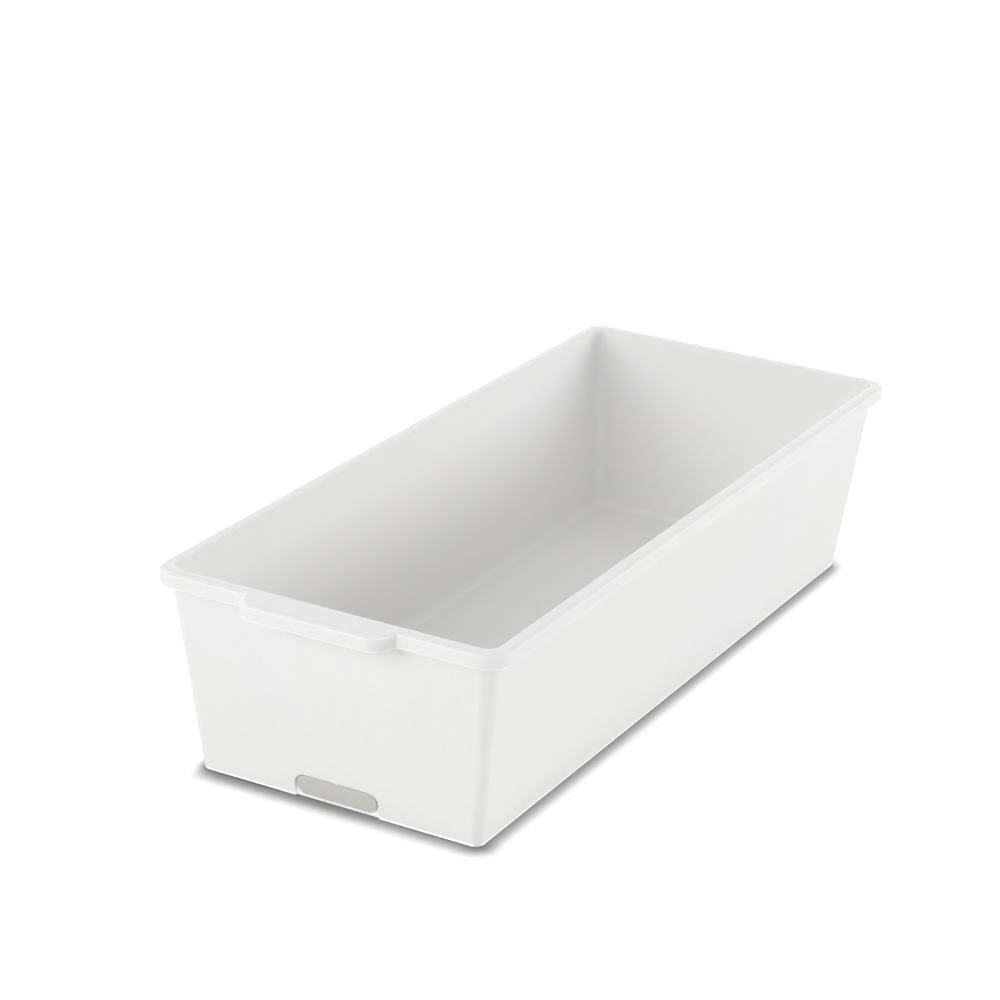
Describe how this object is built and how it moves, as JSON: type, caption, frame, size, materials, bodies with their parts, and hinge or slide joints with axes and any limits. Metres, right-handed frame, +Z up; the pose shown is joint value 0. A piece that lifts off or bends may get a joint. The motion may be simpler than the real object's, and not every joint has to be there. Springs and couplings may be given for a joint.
{
  "type": "storage bin",
  "caption": "Long tapered open-top storage bin with a down-turned rim, a grip lip at the front, a soft badge insert at its foot and non-slip pads below.",
  "frame": {"origin": "middle of the overall box, on the surface that the pads stand on", "axes": "+Z up; Y along the long sides, with the badge and the grip lip at the -Y end; X across"},
  "size_m": [0.165, 0.4042, 0.095],
  "materials": {
    "bin_white": "white polypropylene with a fine matte mould texture, smoother along the rim",
    "badge_grey": "warm grey soft-touch insert, matte",
    "pad_grey": "grey soft pad, matte"
  },
  "bodies": {
    "root": {"bin_shell": "bin_white", "badge_insert": "badge_grey", "foot_pad_front_left": "pad_grey", "foot_pad_front_right": "pad_grey", "foot_pad_back_left": "pad_grey", "foot_pad_back_right": "pad_grey"}
  },
  "joints": []
}
